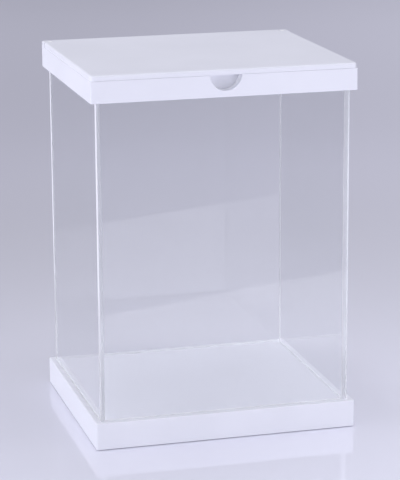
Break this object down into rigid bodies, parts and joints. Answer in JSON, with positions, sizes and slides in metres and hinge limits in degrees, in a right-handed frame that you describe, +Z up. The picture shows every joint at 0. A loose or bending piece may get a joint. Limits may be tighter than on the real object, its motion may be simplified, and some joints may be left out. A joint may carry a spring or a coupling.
{
  "type": "figure display case",
  "caption": "Upright display case with clear sheet sides standing between a white base and a white upper frame, with a hinged lid and a half-moon finger recess in front.",
  "frame": {"origin": "middle of the footprint, on the table that the feet stand on", "axes": "+Z up, -Y towards the front with the finger recess, +X to the right seen from the front"},
  "size_m": [0.172, 0.15, 0.24],
  "materials": {
    "white_plastic": "satin white moulded plastic with softly rounded edges",
    "clear_sheet": "clear polished acrylic sheet",
    "soft_foot": "grey translucent soft pad",
    "hinge_steel": "plain drawn steel pin"
  },
  "bodies": {
    "case": {"base_tray": "white_plastic", "foot_front_left": "soft_foot", "foot_front_right": "soft_foot", "foot_rear_left": "soft_foot", "foot_rear_right": "soft_foot", "front_panel": "clear_sheet", "back_panel": "clear_sheet", "left_panel": "clear_sheet", "right_panel": "clear_sheet", "top_frame": "white_plastic", "hinge_pin_left": "hinge_steel", "hinge_pin_right": "hinge_steel"},
    "lid": {"lid": "white_plastic"}
  },
  "joints": [
    {"name": "lid_hinge", "type": "hinge", "parent": "case", "child": "lid", "pos_m": [0, 0.07295, 0.23825], "axis": [-1, 0, 0], "range_deg": [0, 110]}
  ]
}
